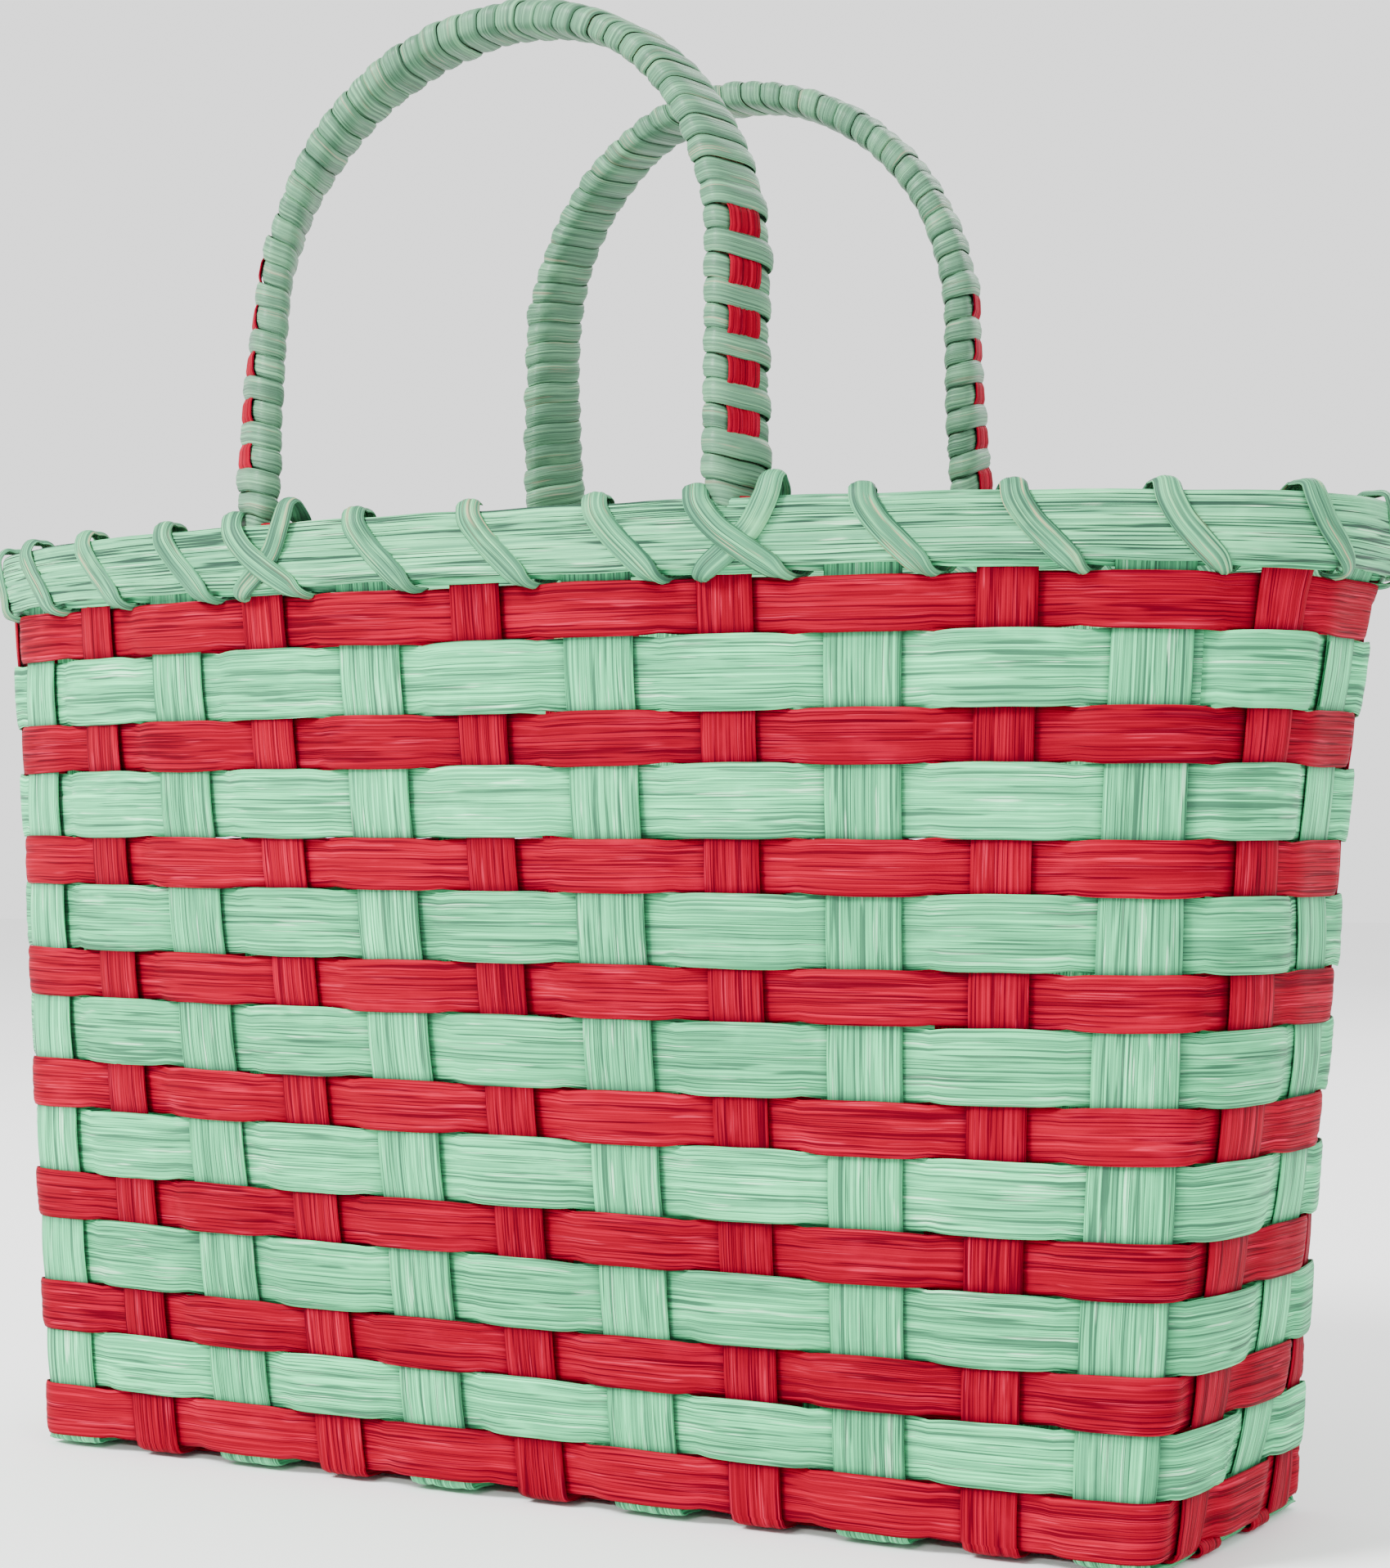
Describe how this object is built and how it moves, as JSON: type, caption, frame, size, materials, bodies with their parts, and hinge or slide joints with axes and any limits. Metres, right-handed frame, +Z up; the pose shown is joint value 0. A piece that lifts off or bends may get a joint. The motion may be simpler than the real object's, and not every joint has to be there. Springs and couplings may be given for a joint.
{
  "type": "woven market basket",
  "caption": "Tall oblong basket plain-woven from flat splints in red and mint, flaring to a lashed oval rim, with wrapped arched handles front and back.",
  "frame": {"origin": "centre of the base, on the surface that the basket stands on", "axes": "+X along the basket's length, -Y towards the front wall, +Z up"},
  "size_m": [0.4196, 0.1678, 0.3905],
  "materials": {
    "mint_splint": "dyed palm splint, satin",
    "red_splint": "dyed palm splint, satin",
    "rim_splint": "dyed palm splint, satin, coarse grain",
    "handle_wrap": "dyed palm splint, worn, satin",
    "handle_core": "bare cane"
  },
  "bodies": {
    "root": {"cross_stake_mint_1": "mint_splint", "cross_stake_mint_2": "mint_splint", "cross_stake_mint_3": "mint_splint", "cross_stake_mint_4": "mint_splint", "cross_stake_mint_5": "mint_splint", "cross_stake_mint_6": "mint_splint", "cross_stake_red_1": "red_splint", "cross_stake_red_2": "red_splint", "cross_stake_red_3": "red_splint", "cross_stake_red_4": "red_splint", "cross_stake_red_5": "red_splint", "long_stake_red_front": "red_splint", "long_stake_mint_middle": "mint_splint", "long_stake_red_back": "red_splint", "base_filler_front": "red_splint", "base_filler_back": "red_splint", "weaver_mint_rim": "mint_splint", "weaver_red_1": "red_splint", "weaver_red_2": "red_splint", "weaver_red_3": "red_splint", "weaver_red_4": "red_splint", "weaver_red_5": "red_splint", "weaver_red_6": "red_splint", "weaver_red_7": "red_splint", "weaver_red_8": "red_splint", "weaver_mint_1": "mint_splint", "weaver_mint_2": "mint_splint", "weaver_mint_3": "mint_splint", "weaver_mint_4": "mint_splint", "weaver_mint_5": "mint_splint", "weaver_mint_6": "mint_splint", "weaver_mint_7": "mint_splint", "rim_band_outer": "rim_splint", "rim_band_inner": "rim_splint", "rim_filler": "red_splint", "rim_lashing": "rim_splint", "handle_front_core": "handle_core", "handle_front_wrap": "handle_wrap", "handle_front_accent_left": "red_splint", "handle_front_accent_right": "red_splint", "handle_back_core": "handle_core", "handle_back_wrap": "handle_wrap", "handle_back_accent_left": "red_splint", "handle_back_accent_right": "red_splint"}
  },
  "joints": []
}
